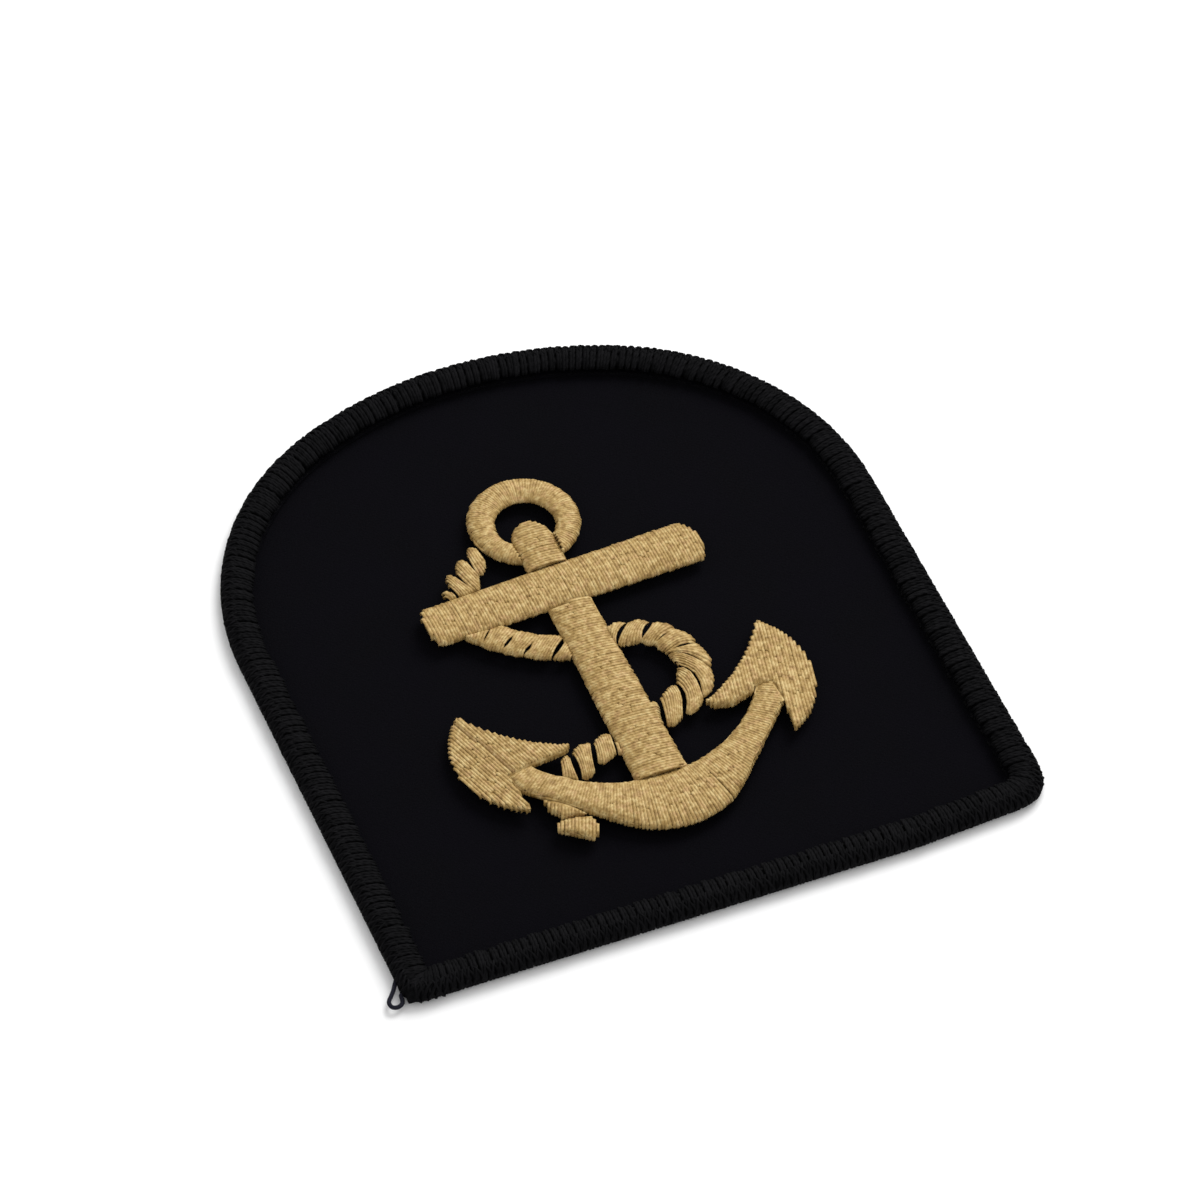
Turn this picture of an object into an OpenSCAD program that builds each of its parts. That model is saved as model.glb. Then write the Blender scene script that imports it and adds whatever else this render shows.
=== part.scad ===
/* [Badge outline] */
// Width of the badge at its widest, across the foot of the arch
badge_w = 80; // [76:0.5:84]
// Height of the badge from its base to the top of the arch
badge_h = 87.5; // [84:0.5:94]
// Radius of the arch at its two shoulders
shoulder_r = 33.2; // [31:0.1:35]
// Height of the shoulder centres above the middle of the badge
shoulder_y = 9.1; // [7:0.1:11]
// Distance from the centre line to the sharp lower left corner
base_left = 39; // [38.5:0.1:40]
// Distance from the centre line to where the base starts to rise
base_rise_x = 22; // [10:0.5:28]
// Radius of the rounded lower right corner
corner_r = 4; // [3.9:0.1:6]
// How far the rounded corner stands in from the widest point of the badge
corner_in = 0.2; // [0:0.1:1]
// How far the underside of the rounded corner sits above the base
corner_lift = 0.9; // [0.5:0.1:3]

/* [Ground cloth] */
// Thickness of the ground cloth
cloth_t = 1.2; // [1:0.1:1.8]

/* [Merrowed border] */
// Width of the overlocked border
border_w = 3.8; // [3.2:0.1:3.8]
// Thickness of the overlocked border
border_t = 2.2; // [2.1:0.1:3]
// Thickness of the thread that covers the edge of the cloth
border_wall = 1; // [0.8:0.1:1.3]
// Thickness of the thread under the edge of the cloth, which it presses thinner
under_t = 0.3; // [0.2:0.05:0.4]
// Radius of the loop of thread left over at the lower left corner
tail_r = 0.75; // [0.6:0.05:1]
// Diameter of that thread
tail_d = 0.3; // [0.2:0.05:0.4]

/* [Embroidery] */
// Height of the padded stitching at its edges, above the cloth
satin_edge_h = 0.5; // [0.3:0.05:0.65]
// Height of the padded stitching along its middle, above the cloth
satin_crown_h = 0.9; // [0.75:0.05:1.2]
// Gap between one stitched area and the next
gap = 0.15; // [0.1:0.01:0.2]

/* [Ring] */
// Outside radius of the anchor's ring
ring_r = 6.7; // [6.4:0.1:7]
// Radius of the ring's hole
hole_r = 3.65; // [3.4:0.05:3.9]
// How far the hole sits below the middle of the ring
hole_drop = 0.5; // [0:0.1:0.8]

/* [Stock] */
// Length of the anchor's stock
stock_len = 34.9; // [33:0.1:36]
// Height of the stock's left end
stock_left_h = 5.8; // [5.4:0.1:6.2]
// Height of the stock's right end
stock_right_h = 6.4; // [5.4:0.1:6.8]
// How far the stock rises to the right, in degrees
stock_tilt = 2.4; // [1:0.1:4]
// Radius of the stock's left end
stock_left_r = 6.5; // [4:0.1:9]
// Radius of the stock's right end
stock_right_r = 5.2; // [3.6:0.1:9]
// How far the stock's right end bends up
stock_right_lift = 0.45; // [0:0.05:0.8]

/* [Shank] */
// Width of the shank just below the stock
shank_top_w = 5.2; // [4.8:0.1:5.6]
// Width of the shank where it meets the arms
shank_foot_w = 6.3; // [5.8:0.1:6.5]
// Width of the shank's head, in front of the ring
head_w = 4.9; // [4.6:0.1:5.2]

/* [Arms and flukes] */
// Radius of the arms' upper edge
arms_upper_r = 17.9; // [17.7:0.1:18.1]
// Radius of the arms' lower edge, below the shank
arms_lower_r = 10.8; // [10.5:0.1:11]
// Radius of the left fluke's outer edge
left_fluke_r = 9.7; // [9.5:0.1:9.9]
// Radius of the hollow edge between the left fluke's tip and its barb
left_hollow_r = 20.4; // [20.2:0.1:20.6]
// Radius of the right fluke's outer edge
right_fluke_r = 10.3; // [10.1:0.1:10.5]
// Radius of the hollow edge between the right fluke's tip and its barb
right_hollow_r = 22.9; // [22.7:0.1:23.1]

/* [Rope] */
// Height of the rope's strands above the cloth
rope_h = 0.8; // [0.6:0.05:1]
// Slit between one strand of the rope and the next
slit = 0.3; // [0.2:0.01:0.4]
// How much more the ends of a strand lean than the edges of the rope do, in degrees
tip_lean = 6; // [0:12]
// Length of a strand without its tips, as a share of its whole length
strand_body = 0.9; // [0.8:0.01:0.95]

/* [Hidden] */
$fn = 96;

// Further than anything on the badge reaches
far = 60;
// Smoothness of the arch, of the cloth's edge inside its border, and of the shallow crowns
arch_fn = 180;
arc_steps = 32;
crown_fn = 720;
cloth_colour = [0.06, 0.06, 0.08];
border_colour = [0.09, 0.09, 0.11];
gold_colour = [0.77, 0.64, 0.41];

// Places on the badge, from its middle, +X to the right and +Y to its top
ring_c = [-1.4, 16.9];
head_c = [-1.45, 13.85];
stock_c = [-0.65, 6];
shank_top_c = [-1.2, 6.2];
shank_foot_c = [-0.85, -25];
arms_upper_c = [-0.8, -6.5];
arms_lower_c = [-0.4, -21.2];
arms_mid_c = [-0.4, -10.4];
arms_mid_r = 17.6;
arms_mid_half = 3.6;
left_fluke_c = [-12.7, -15.1];
left_hollow_c = [-2.2, 2.4];
right_fluke_c = [11.1, -14.55];
right_hollow_c = [-1.8, 4.4];
fluke_half = 8;

// Ends of the arms, from their upper edge round to their lower edge
left_arm_tip = [[-14.3, -18.2], [-17.2, -18.8], [-16.9, -20.7]];
right_arm_tip = [[16.2, -19.5], [16, -16.6], [14, -16.5]];
// Space between a fluke's two barbs, which takes the arm's end and leaves a seam round it
left_fork = [[-9.1, -16.4], [-9.8, -17.6], [-14.3, -18.05], [-17.35, -18.65], [-17.05, -20.8],
             [-16.3, -26], [-2, -26], [-2, -14]];
right_fork = [[7.7, -16], [8.4, -17.3], [10.4, -17.9], [13.5, -16.9], [13.8, -16.3], [16.15, -16.4],
              [16.35, -19.5], [15.4, -26], [0, -26], [0, -14]];
// Lower right corner of the room that the left fluke's barb takes above the rope
barb_clear = [-9.1, -18];
// The rope's end under the left arm: a short tuck that comes out from the arm, and the end below it
rope_tuck_c = [-12.7, -24.6];
rope_tuck_r = 2.4;
rope_tuck = [[-14.6, -21.5], [-14.8, -24.6], [-13.6, -26.2], [-11, -26.6], [-10.6, -25.4], [-10.6, -21.5]];
rope_end_c = [-12.6, -28.2];
rope_end_r = 2.3;
rope_end_sides = [[-14.9, -26.3], [-10.3, -27.0], [-10.3, -30.6], [-11.6, -30.2], [-15.1, -27.6]];

// Runs of the rope, each an arc with its strands evenly spaced along it. The columns are the x and y
// of the first strand and of the last, how far the arc bows out to its left, the number of strands,
// the strands' lay at its two ends, in degrees to the run, and the rope's width at its two ends
upper_run = [-8.6, 13.9, -12.9, 7.9, -0.4, 4, 50, 68, 3.2, 4.5];
left_run = [-13.1, 3.9, -4.1, -2.9, -0.9, 5, 82, 82, 3.8, 3.6];
loop_run = [1.9, -3.35, 8.3, -12.2, 3.1, 6, 64, 50, 3.7, 4.6];
lower_run = [6, -14.75, -10.7, -20.1, 0.35, 8, 60, 50, 4.3, 4];
upper_all = [0, 1, 2, 3];
left_all = [0, 1, 2, 3, 4];
loop_all = [0, 1, 2, 3, 4, 5];
before_shank = [0, 1];
over_shank = [2, 3, 4];
past_shank = [5, 6, 7];

function unit(a) = [cos(a), sin(a)];
function heading(v) = atan2(v[1], v[0]);
function mix(a, b, t) = a + (b - a) * t;
// Outward direction of the line that touches two circles on its right, on the way from c1 to c2
function touch_a(c1, r1, c2, r2) = heading(c2 - c1) - acos((r1 - r2) / norm(c2 - c1));
// A corner at p between edges that face a1 and a2, moved in by inset
function corner_in_by(p, a1, a2, inset) = p - inset * (unit(a1) + unit(a2)) / (1 + cos(a1 - a2));
// Radius of a surface that falls from the crown to the edge height over half a width
function crown_radius(half) =
    (pow(half, 2) + pow(satin_crown_h - satin_edge_h, 2)) / (2 * (satin_crown_h - satin_edge_h));

// Outline: two shoulder arcs, a crown arc that meets both smoothly, two straight sides and the base
half_w = badge_w / 2;
top_y = badge_h / 2;
base_y = -top_y;
shoulder_x = half_w - shoulder_r;
arch_h = top_y - shoulder_y;
crown_r = (pow(shoulder_x, 2) + pow(arch_h, 2) - pow(shoulder_r, 2)) / (2 * (arch_h - shoulder_r));
crown_c = [0, top_y - crown_r];
right_shoulder = [shoulder_x, shoulder_y];
left_shoulder = [-shoulder_x, shoulder_y];
corner_c = [half_w - corner_in - corner_r, base_y + corner_lift + corner_r];
base_corner = [-base_left, base_y];
base_rise = [base_rise_x, base_y];
base_a = -90;
rise_a = touch_a(base_rise, 0, corner_c, corner_r);
right_a = touch_a(corner_c, corner_r, right_shoulder, shoulder_r);
join_a = heading(right_shoulder - crown_c);
left_a = touch_a(left_shoulder, shoulder_r, base_corner, 0) + 360;
mitre_a = (base_a + 360 + left_a) / 2;

// Points along an arc, without its last one
function arc_points(c, r, from, to) = [for (i = [0:arc_steps - 1]) c + r * unit(mix(from, to, i / arc_steps))];

// The badge's outline, drawn in from its edge by inset
module outline_area(inset) polygon(concat(
    [corner_in_by(base_corner, left_a, base_a, inset), corner_in_by(base_rise, base_a, rise_a, inset)],
    arc_points(corner_c, corner_r - inset, rise_a, right_a),
    [corner_c + (corner_r - inset) * unit(right_a)],
    arc_points(right_shoulder, shoulder_r - inset, right_a, join_a),
    arc_points(crown_c, crown_r - inset, join_a, 180 - join_a),
    arc_points(left_shoulder, shoulder_r - inset, 180 - join_a, left_a),
    [left_shoulder + (shoulder_r - inset) * unit(left_a)]));

module ground_cloth() color(cloth_colour) {
    translate([0, 0, under_t]) linear_extrude(cloth_t - under_t) outline_area(border_wall + gap);
    linear_extrude(under_t) outline_area(border_w);
}

// Section of the border, its outside edge on x = 0, with the slot that takes the cloth's edge
module border_section() {
    end_r = border_t / 2;
    difference() {
        union() {
            translate([-end_r, end_r]) circle(end_r);
            translate([end_r - border_w, end_r]) circle(end_r);
            translate([end_r - border_w, 0]) square([border_w - border_t, border_t]);
        }
        translate([-2 * border_w, under_t]) square([2 * border_w - border_wall, cloth_t - under_t]);
    }
}

module border_line(from, to) {
    translate(to) rotate([90, 0, heading(to - from) - 90]) linear_extrude(norm(to - from)) border_section();
}

module border_arc(c, r, from, to) {
    translate(c) rotate(from) rotate_extrude(angle = to - from, $fn = arch_fn) translate([r, 0]) border_section();
}

// Everything on one side of the mitre at the sharp corner
module mitre_side(turn) {
    translate(base_corner) rotate(mitre_a + turn) translate([-far, 0, -1]) cube([2 * far, 2 * far, 2 * border_t]);
}

module merrowed_border() color(border_colour) {
    side_top = left_shoulder + shoulder_r * unit(left_a);
    rise_end = corner_c + corner_r * unit(rise_a);
    right_end = corner_c + corner_r * unit(right_a);
    difference() {
        border_line(base_corner, base_rise);
        mitre_side(180);
    }
    border_line(base_rise, rise_end);
    border_arc(corner_c, corner_r, rise_a, right_a);
    border_line(right_end, right_shoulder + shoulder_r * unit(right_a));
    border_arc(right_shoulder, shoulder_r, right_a, join_a);
    border_arc(crown_c, crown_r, join_a, 180 - join_a);
    border_arc(left_shoulder, shoulder_r, 180 - join_a, left_a);
    difference() {
        border_line(side_top, base_corner);
        mitre_side(0);
    }
}

// Loop of border thread that stands out past the sharp corner, both its ends at the border
module thread_tail() color(border_colour) {
    open_a = 64;
    translate([base_corner[0] - tail_r, base_y + 1.5 * tail_r, border_t / 4]) rotate(open_a)
        rotate_extrude(angle = 360 - 2 * open_a) translate([tail_r, 0]) circle(d = tail_d, $fn = 24);
}

module raised(h) translate([0, 0, cloth_t]) linear_extrude(h) children();

// Padded stitching over a plan, with its crown along a straight line through c
module padded_bar(c, a, half) {
    r = crown_radius(half);
    color(gold_colour) intersection() {
        raised(satin_crown_h) children();
        translate([c[0], c[1], cloth_t + satin_crown_h - r]) rotate([0, 90, a])
            cylinder(r = r, h = 2 * far, center = true, $fn = crown_fn);
    }
}

// Padded stitching over a plan, with its crown along a circle of radius mid_r
module padded_arc(c, mid_r, half) {
    r = crown_radius(half);
    color(gold_colour) intersection() {
        raised(satin_crown_h) children();
        translate([c[0], c[1], cloth_t + satin_crown_h - r]) rotate_extrude($fn = arch_fn)
            translate([mid_r, 0]) intersection() {
                circle(r);
                translate([-mid_r, r - 2 * satin_crown_h]) square([2 * mid_r, 2 * satin_crown_h]);
            }
    }
}

// Padded stitching over a plan, domed about c
module padded_dome(c, half) {
    r = crown_radius(half);
    color(gold_colour) intersection() {
        raised(satin_crown_h) children();
        translate([c[0], c[1], cloth_t + satin_crown_h - r]) sphere(r, $fn = arch_fn);
    }
}

// The stock as it lies along x, about its own middle
module stock_shape(grow) intersection() {
    left_x = -stock_len / 2 + stock_left_r;
    right_x = stock_len / 2 - stock_right_r;
    end_x = stock_len / 2 + grow;
    left_y = stock_left_h / 2 + grow;
    right_y = stock_right_h / 2 + grow;
    lift = stock_right_lift;
    polygon([[-end_x, -left_y], [end_x, lift - right_y], [end_x, lift + right_y], [-end_x, left_y]]);
    union() {
        translate([left_x, 0]) circle(stock_left_r + grow);
        translate([right_x, 0]) circle(stock_right_r + grow);
        translate([left_x, -far]) square([right_x - left_x, 2 * far]);
    }
}

module stock_plan(grow) translate(stock_c) rotate(stock_tilt) stock_shape(grow);

module head_plan(grow) {
    translate(head_c) circle(head_w / 2 + grow);
    translate([head_c[0] - head_w / 2 - grow, stock_c[1]]) square([head_w + 2 * grow, head_c[1] - stock_c[1]]);
}

module shank_plan(grow) {
    top_half = shank_top_w / 2 + grow;
    foot_half = shank_foot_w / 2 + grow;
    polygon([
        shank_top_c - [top_half, 0], shank_foot_c - [foot_half, 0],
        shank_foot_c + [foot_half, 0], shank_top_c + [top_half, 0]
    ]);
}

module ring_plan(grow) difference() {
    translate(ring_c) circle(ring_r + grow);
    translate(ring_c - [0, hole_drop]) circle(hole_r - grow);
}

// The arms' outline: a round bottom, straight sides that touch it, and the hollow upper edge
module arms_plan() {
    left_low = left_arm_tip[2];
    right_low = right_arm_tip[0];
    r = arms_lower_r;
    difference() {
        union() {
            translate(arms_lower_c) circle(r);
            polygon(concat(
                [arms_lower_c + r * unit(touch_a(left_low, 0, arms_lower_c, r)),
                 arms_lower_c + r * unit(touch_a(arms_lower_c, r, right_low, 0))],
                right_arm_tip, left_arm_tip));
        }
        translate(arms_upper_c) circle(arms_upper_r);
    }
}

module fluke_plan(outer_c, outer_r, hollow_c, hollow_r, fork) difference() {
    translate(outer_c) circle(outer_r);
    translate(hollow_c) circle(hollow_r);
    polygon(fork);
}

module anchor_ring() padded_arc(ring_c, (ring_r + hole_r) / 2, (ring_r - hole_r) / 2) difference() {
    ring_plan(0);
    head_plan(gap);
}

module shank_head() padded_bar(head_c, 90, head_w / 2) difference() {
    head_plan(0);
    stock_plan(gap);
}

module anchor_stock() translate(stock_c) rotate(stock_tilt)
    padded_bar([0, stock_right_lift / 2], atan(stock_right_lift / stock_len), stock_left_h / 2) stock_shape(0);

// The stretch of the shank that the rope passes over
module crossing_plan(grow) {
    first = rope_spot(lower_run, over_shank[0]);
    last = rope_spot(lower_run, over_shank[2]);
    width = lower_run[8] + 2 * grow;
    translate((first + last) / 2) rotate(heading(first - last)) square([far, width], center = true);
}

module anchor_shank() padded_bar(shank_top_c, heading(shank_top_c - shank_foot_c), shank_top_w / 2) difference() {
    shank_plan(0);
    stock_plan(gap);
    crossing_plan(gap);
    translate(rope_spot(lower_run, over_shank[2]) - [far, far]) square([2 * far, far]);
}

module shank_foot() padded_bar(shank_foot_c, 90, shank_foot_w / 2) difference() {
    intersection() {
        shank_plan(0);
        translate(arms_upper_c) circle(arms_upper_r - gap);
        translate(rope_spot(lower_run, over_shank[0]) - [far, far]) square([2 * far, far]);
    }
    crossing_plan(gap);
}

module anchor_arms() padded_arc(arms_mid_c, arms_mid_r, arms_mid_half) arms_plan();

module left_fluke() padded_bar(left_fluke_c, 90, fluke_half)
    fluke_plan(left_fluke_c, left_fluke_r, left_hollow_c, left_hollow_r, left_fork);

module right_fluke() padded_bar(right_fluke_c, 90, fluke_half)
    fluke_plan(right_fluke_c, right_fluke_r, right_hollow_c, right_hollow_r, right_fork);

// Geometry of a run of rope: the arc through its first and last strands, and where strand i lies
function run_first(run) = [run[0], run[1]];
function run_last(run) = [run[2], run[3]];
function run_chord(run) = norm(run_last(run) - run_first(run));
function run_radius(run) = (pow(run_chord(run) / 2, 2) + pow(run[4], 2)) / (2 * abs(run[4]));
function run_turn(run) = 2 * asin(run_chord(run) / 2 / run_radius(run)) * sign(-run[4]);
function run_share(run, i) = i / (run[5] - 1);
function run_heading(run, i) =
    heading(run_last(run) - run_first(run)) + run_turn(run) * (run_share(run, i) - 0.5);
function run_centre(run) =
    run_first(run) + sign(-run[4]) * run_radius(run) * unit(run_heading(run, 0) + 90);
function rope_spot(run, i) =
    run_centre(run) - sign(-run[4]) * run_radius(run) * unit(run_heading(run, i) + 90);
function run_pitch(run) = run_radius(run) * abs(run_turn(run)) * PI / 180 / (run[5] - 1);
function run_lay(run, i) = mix(run[6], run[7], run_share(run, i));
function run_width(run, i) = mix(run[8], run[9], run_share(run, i));

function run_step(run) = (run_turn(run) + run[7] - run[6]) / (run[5] - 1);

// The strands of a run that are named in picks, each a wedge that fills the room between its neighbours.
// What the children take up is cut from them
module rope_strands(run, picks) {
    for (i = picks) {
        lay = run_lay(run, i);
        at = rope_spot(run, i);
        difference() {
            translate([at[0], at[1], cloth_t]) rotate(run_heading(run, i) + lay)
                strand(run_width(run, i) / sin(lay), run_pitch(run) * sin(lay) - slit, run_step(run), lay - tip_lean);
            children();
        }
    }
}

// One strand along x: a round top, sides that close in by step degrees, and leaning, rounded ends
module strand(len, mid_w, step, lean) {
    spread = len / 2 * tan(step);
    top_r = (pow(mid_w / 2, 2) + pow(rope_h / 2, 2)) / rope_h;
    end_w = strand_body * len * sin(lean);
    intersection() {
        linear_extrude(rope_h) intersection() {
            polygon([
                [-len / 2, -(mid_w + spread) / 2], [len / 2, -(mid_w - spread) / 2],
                [len / 2, (mid_w - spread) / 2], [-len / 2, (mid_w + spread) / 2]
            ]);
            rotate(-lean) square([2 * len, end_w], center = true);
            circle(d = len);
        }
        translate([0, 0, rope_h - top_r]) rotate([0, 90, 0]) cylinder(r = top_r, h = 2 * len, center = true);
    }
}

module cut_clear() translate([0, 0, cloth_t / 2]) linear_extrude(2 * cloth_t) children();

module rope_upper() color(gold_colour) rope_strands(upper_run, upper_all) cut_clear() {
    stock_plan(gap);
    translate(ring_c) circle(ring_r + gap);
}

module rope_left() color(gold_colour) rope_strands(left_run, left_all) cut_clear() {
    stock_plan(gap);
    shank_plan(gap);
}

module rope_right() color(gold_colour) {
    rope_strands(loop_run, loop_all) cut_clear() shank_plan(gap);
    rope_strands(lower_run, before_shank) cut_clear() shank_plan(gap);
}

module rope_crossing() color(gold_colour) rope_strands(lower_run, over_shank);

module rope_lower() color(gold_colour) intersection() {
    rope_strands(lower_run, past_shank) cut_clear() translate(barb_clear - [far, 0]) square(far);
    cut_clear() translate(arms_upper_c) circle(arms_upper_r - gap);
}

module rope_end() {
    padded_dome(rope_tuck_c, rope_tuck_r) difference() {
        polygon(rope_tuck);
        translate([-gap, -gap]) arms_plan();
    }
    padded_dome(rope_end_c, rope_end_r) intersection() {
        polygon(rope_end_sides);
        translate(rope_end_c) circle(rope_end_r);
    }
}

ground_cloth();
merrowed_border();
thread_tail();
anchor_ring();
shank_head();
anchor_stock();
anchor_shank();
shank_foot();
anchor_arms();
left_fluke();
right_fluke();
rope_upper();
rope_left();
rope_right();
rope_crossing();
rope_lower();
rope_end();
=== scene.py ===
# The embroidered rank badge: dark wool cloth with an overlocked border, and an anchor wound with
# rope, stitched in gold thread. Lengths are in millimetres until a mesh is written.
import math

import bmesh
import bpy
import numpy as np
from mathutils import Matrix, Vector
from mathutils.bvhtree import BVHTree


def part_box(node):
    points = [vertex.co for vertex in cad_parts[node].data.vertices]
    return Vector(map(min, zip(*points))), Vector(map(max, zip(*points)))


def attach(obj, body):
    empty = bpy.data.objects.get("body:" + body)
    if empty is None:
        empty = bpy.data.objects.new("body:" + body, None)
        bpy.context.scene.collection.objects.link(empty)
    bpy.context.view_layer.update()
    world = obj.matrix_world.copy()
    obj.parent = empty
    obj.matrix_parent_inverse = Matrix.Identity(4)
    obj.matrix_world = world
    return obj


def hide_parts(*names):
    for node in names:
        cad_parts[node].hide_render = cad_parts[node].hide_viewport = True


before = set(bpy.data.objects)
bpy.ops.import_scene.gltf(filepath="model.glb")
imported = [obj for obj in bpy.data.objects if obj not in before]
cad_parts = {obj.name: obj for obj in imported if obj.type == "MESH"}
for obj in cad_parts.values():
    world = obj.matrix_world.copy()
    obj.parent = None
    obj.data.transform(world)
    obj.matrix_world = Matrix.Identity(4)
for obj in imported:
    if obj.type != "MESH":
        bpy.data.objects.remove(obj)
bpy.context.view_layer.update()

MM = 0.001
# Heights of the cloth's face, of the foot of the padding on it, and of the stitching's top
CLOTH_TOP = 1.2
PAD_FOOT = CLOTH_TOP + 0.3
STITCH_TOP = 1.9
# The unevenness of hand work, the same in each run
hand = np.random.default_rng(1805)


# Objects, directions and lines

def placed(name, data):
    """A new object, put into the scene."""
    thing = bpy.data.objects.new(name, data)
    bpy.context.collection.objects.link(thing)
    return thing


def only(piece):
    """Leaves that piece alone selected."""
    bpy.ops.object.select_all(action="DESELECT")
    piece.select_set(True)
    bpy.context.view_layer.objects.active = piece


def joined(parts):
    """Joins objects into the first of them."""
    only(parts[0])
    for part in parts:
        part.select_set(True)
    if len(parts) > 1:
        bpy.ops.object.join()
    return bpy.context.object


def select_edges(mesh, wanted):
    """In edit mode, selects the edges that pass a test and lets go of the others."""
    bm = bmesh.from_edit_mesh(mesh)
    for edge in bm.edges:
        edge.select_set(wanted(edge))
    bmesh.update_edit_mesh(mesh)


def points_of(mesh):
    """A mesh's points in metres, one to a row."""
    points = np.empty(len(mesh.vertices) * 3)
    mesh.vertices.foreach_get("co", points)
    return points.reshape(-1, 3)


def pointing(angle):
    """The direction in plan at an angle in radians."""
    return np.array([math.cos(angle), math.sin(angle)])


def left_of(way):
    """The direction in plan that is a quarter turn to the left of another."""
    return np.array([-way[1], way[0]])


def lengths_to(line):
    """How far along a line each of its points lies, in plan."""
    steps = np.linalg.norm(np.diff(line[:, :2], axis=0), axis=1)
    return np.concatenate([[0], np.cumsum(steps)])


def read_at(places, marks, points):
    """A line of points that has a mark at each, read at any places between the marks."""
    return np.stack([np.interp(places, marks, column) for column in points.T], -1)


# Camera, light and floor

# The view was worked out from the badge's outline in the photo
LENS = 154.34
SENSOR = 36
PHOTO_SIDE = 1200
CAMERA_PLACE = (-0.1542, -0.3562, 0.4528)
TURN = Matrix.Rotation(math.radians(-23.592), 4, "Z")
LEAN = Matrix.Rotation(math.radians(90 - 49.078), 4, "X")
ROLL = Matrix.Rotation(math.radians(2.0), 4, "Z")
VIEW = Matrix.Translation(CAMERA_PLACE) @ TURN @ LEAN @ ROLL
ROOM_LIGHT = 0.78
# The floor is a hair lower than the badge's back, in metres, so that the two don't flicker
FLOOR_DROP = 0.00006


def photo_camera():
    """The photo's view: from the front, above and left of the badge, through a long lens."""
    data = bpy.data.cameras.new("photo_camera")
    camera = placed("photo_camera", data)
    data.sensor_width = SENSOR
    data.lens = LENS
    data.clip_start = 0.05
    data.clip_end = 20
    camera.matrix_world = VIEW
    bpy.context.scene.camera = camera


def on_badge(across, down):
    """The place on the badge, in millimetres, that a pixel of the photo shows on its stitching."""
    ray = Vector((across - PHOTO_SIDE / 2, PHOTO_SIDE / 2 - down, -LENS / SENSOR * PHOTO_SIDE))
    ray.rotate(VIEW.to_quaternion())
    eye = VIEW.translation / MM
    spot = eye + ray * ((STITCH_TOP - eye.z) / ray.z)
    return np.array([spot.x, spot.y])


def seen(low_across, low_down, high_across, high_down, *numbers):
    """A gap between strands, from its two ends in the photo: its middle on the badge, its
    direction in degrees, and its other numbers as they are."""
    low = on_badge(low_across, low_down)
    x, y = (low + on_badge(high_across, high_down)) / 2
    direction = math.degrees(math.atan2(y - low[1], x - low[0]))
    return [x, y, direction, *numbers]


def soft_light(name, place, aim, size, watts):
    """A square lamp at a place, turned to a point."""
    data = bpy.data.lights.new(name, "AREA")
    data.size = size
    data.energy = watts
    lamp = placed(name, data)
    lamp.rotation_mode = "QUATERNION"
    lamp.rotation_quaternion = (Vector(place) - Vector(aim)).to_track_quat("Z", "Y")
    lamp.location = place


def studio():
    """A white room, a window-like lamp behind on the right, and a pale floor."""
    world = bpy.data.worlds.new("white_room")
    bpy.context.scene.world = world
    world.use_nodes = True
    background = world.node_tree.nodes["Background"]
    background.inputs["Color"].default_value = (1, 1, 1, 1)
    background.inputs["Strength"].default_value = ROOM_LIGHT
    soft_light("window", place=(0.42, 0.36, 0.5), aim=(0, 0, 0), size=0.45, watts=5)
    bpy.context.scene.view_settings.view_transform = "Standard"
    bpy.ops.object.select_all(action="DESELECT")
    bpy.ops.mesh.primitive_plane_add(size=6, location=(0, 0, -FLOOR_DROP))
    floor = bpy.context.object
    floor.name = "floor"
    paint = Shader("pale_floor", {"Base Color": (0.93, 0.93, 0.93, 1), "Roughness": 0.9,
                                  "Specular IOR Level": 0.1})
    floor.data.materials.append(paint.material)


# Materials

DULL_GOLD = (0.36, 0.23, 0.071, 1)
BRIGHT_GOLD = (0.41, 0.27, 0.091, 1)
ROSY_GOLD = (0.475, 0.28, 0.13, 1)
# Painted sheen in the gold thread: pale specks are painted glints and brown specks painted shade,
# where the twisted thread catches more and less light
GLINT_GOLD = (0.56, 0.42, 0.185, 1)
SHEEN_SHADE_GOLD = (0.225, 0.128, 0.032, 1)
# The painted shade at the gold threads' sides, between their plies and in their streaks
SHADE_GOLD = (0.17, 0.09, 0.022, 1)
CLEAN_GOLD = (0.52, 0.37, 0.15, 1)
BLACK_THREAD = (0.0015, 0.0015, 0.0018, 1)
GREY_THREAD = (0.0058, 0.0056, 0.0064, 1)
# The painted shade at the border threads' sides and between their plies
SHADE_THREAD = (0.0012, 0.0012, 0.0016, 1)
TAIL_THREAD = (0.014, 0.014, 0.021, 1)
# The felt's nap: painted shade in its hollows and painted light on its raised fibres
HOLLOW_SHADE_WOOL = (0.0021, 0.0020, 0.0028, 1)
RAISED_LIT_WOOL = (0.0038, 0.0036, 0.0048, 1)
VIOLET_WOOL = (0.0032, 0.0028, 0.0048, 1)
# From one slanting thread of the cloth's weave to the next
WEAVE = 0.62
# A thread's own tone is 0 to 1, less the first of these in a streak of painted shade. The second is
# the tail's.
STREAK_TONE = 2.0
TAIL_TONE = 3.0


class Wire:
    """A socket that takes part in sums, so that shader maths reads as maths."""

    def __init__(self, shader, socket):
        self.shader = shader
        self.socket = socket

    def maths(self, operation, first, second=0.0):
        return self.shader.add("ShaderNodeMath", {"operation": operation}, {0: first, 1: second})

    def __add__(self, other):
        return self.maths("ADD", self, other)

    __radd__ = __add__

    def __sub__(self, other):
        return self.maths("SUBTRACT", self, other)

    def __rsub__(self, other):
        return self.maths("SUBTRACT", other, self)

    def __mul__(self, other):
        return self.maths("MULTIPLY", self, other)

    __rmul__ = __mul__

    def wave(self):
        """From 0 to 1 and back once for each whole number."""
        return self.maths("SINE", self * math.tau) * 0.5 + 0.5

    def between(self, low, high):
        """0 at low and under, 1 at high and over."""
        return self.shader.add("ShaderNodeMapRange", {"clamp": True},
                               {"Value": self, "From Min": low, "From Max": high})


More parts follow.
